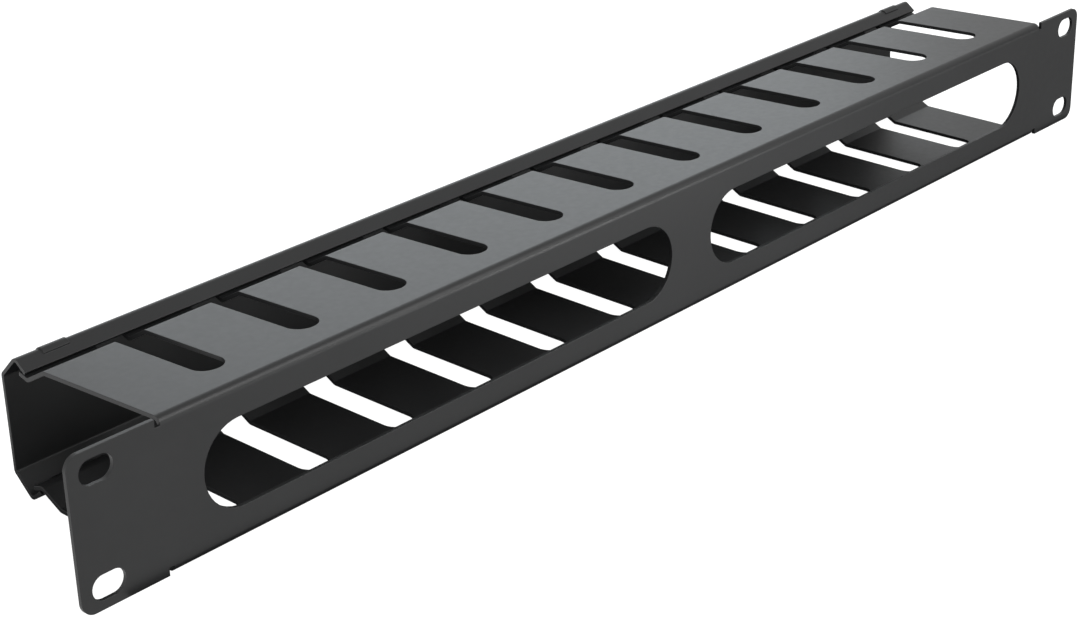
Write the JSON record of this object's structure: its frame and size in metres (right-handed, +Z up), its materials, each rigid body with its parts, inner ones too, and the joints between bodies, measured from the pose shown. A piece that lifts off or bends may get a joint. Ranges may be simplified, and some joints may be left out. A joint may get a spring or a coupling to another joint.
{
  "type": "horizontal cable manager",
  "caption": "Folded sheet cable duct for a rack, with long front windows, slotted top and bottom plates and a clip-on rear cover.",
  "frame": {"origin": "middle of the four bolt slots, on the back of the ears, where the panel meets the rack's rails", "axes": "+X along the panel, to the right as seen from the front; +Y from the front to the back; +Z up"},
  "size_m": [0.4826, 0.0661, 0.044],
  "materials": {
    "panel_coat": "satin black powder coat",
    "cover_coat": "satin black powder coat"
  },
  "bodies": {
    "panel": {"front_panel": "panel_coat"},
    "cover": {"rear_cover": "cover_coat"}
  },
  "joints": [
    {"name": "cover_slide", "type": "slide", "parent": "panel", "child": "cover", "axis": [1, 0, 0], "range_m": [-0.4, 0.4]}
  ]
}
